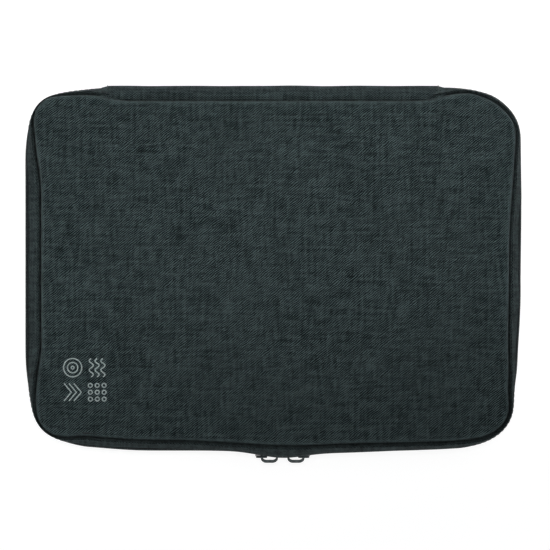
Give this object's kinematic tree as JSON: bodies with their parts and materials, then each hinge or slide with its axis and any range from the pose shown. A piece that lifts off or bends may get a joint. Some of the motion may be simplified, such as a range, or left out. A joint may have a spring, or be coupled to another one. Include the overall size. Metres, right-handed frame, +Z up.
{
  "type": "cable organizer pouch",
  "caption": "Flat zipped travel pouch with rounded corners, a sewn spine it opens on like a book, elastic cable loops inside and a mesh pocket in the lid.",
  "frame": {"origin": "middle of the rear panel's outer face, on which the pouch lies", "axes": "+X along the spine, +Y from the zip's front run to the spine, +Z up out of the rear panel, through the thickness"},
  "size_m": [0.24, 0.1831, 0.048],
  "materials": {
    "outer_fabric": "heathered polyester twill",
    "lining": "plain woven polyester",
    "foam": "open-cell foam sheet",
    "binding": "ribbed binding tape",
    "zip_tape": "woven tape",
    "zip_chain": "nylon",
    "elastic": "woven elastic",
    "mesh": "knitted mesh",
    "zip_metal": "dark enamel"
  },
  "bodies": {
    "base": {"rear_panel": "outer_fabric", "rear_padding": "foam", "rear_lining": "lining", "rear_gusset": "outer_fabric", "rear_gusset_lining": "lining", "rear_seam_binding": "binding", "rear_zip_tape": "zip_tape", "rear_zip_chain": "zip_chain", "rear_spine": "outer_fabric", "upper_cable_elastic": "elastic", "lower_cable_elastic": "elastic"},
    "lid": {"front_panel": "outer_fabric", "front_padding": "foam", "front_lining": "lining", "front_gusset": "outer_fabric", "front_gusset_lining": "lining", "front_seam_binding": "binding", "front_zip_tape": "zip_tape", "front_zip_chain": "zip_chain", "front_spine": "outer_fabric", "mesh_pocket": "mesh", "mesh_pocket_hem": "elastic", "mesh_pocket_binding": "binding"},
    "left_zip_slider": {"left_slider": "zip_metal"},
    "left_zip_puller": {"left_puller": "zip_metal"},
    "right_zip_slider": {"right_slider": "zip_metal"},
    "right_zip_puller": {"right_puller": "zip_metal"}
  },
  "joints": [
    {"name": "lid_hinge", "type": "hinge", "parent": "base", "child": "lid", "pos_m": [0, 0.08925, 0.024], "axis": [-1, 0, 0], "range_deg": [0, 180], "deforming": ["front_zip_chain"]},
    {"name": "left_slider_slide", "type": "slide", "parent": "base", "child": "left_zip_slider", "axis": [-1, 0, 0], "range_m": [0, 0.062], "deforming": ["rear_zip_chain"]},
    {"name": "right_slider_slide", "type": "slide", "parent": "base", "child": "right_zip_slider", "axis": [1, 0, 0], "range_m": [0, 0.054]},
    {"name": "left_puller_swing", "type": "hinge", "parent": "left_zip_slider", "child": "left_zip_puller", "pos_m": [-0.00555, -0.0913, 0.024], "axis": [0, 1, 0], "range_deg": [-25, 165]},
    {"name": "right_puller_swing", "type": "hinge", "parent": "right_zip_slider", "child": "right_zip_puller", "pos_m": [0.01495, -0.0913, 0.024], "axis": [0, -1, 0], "range_deg": [-25, 165]}
  ]
}
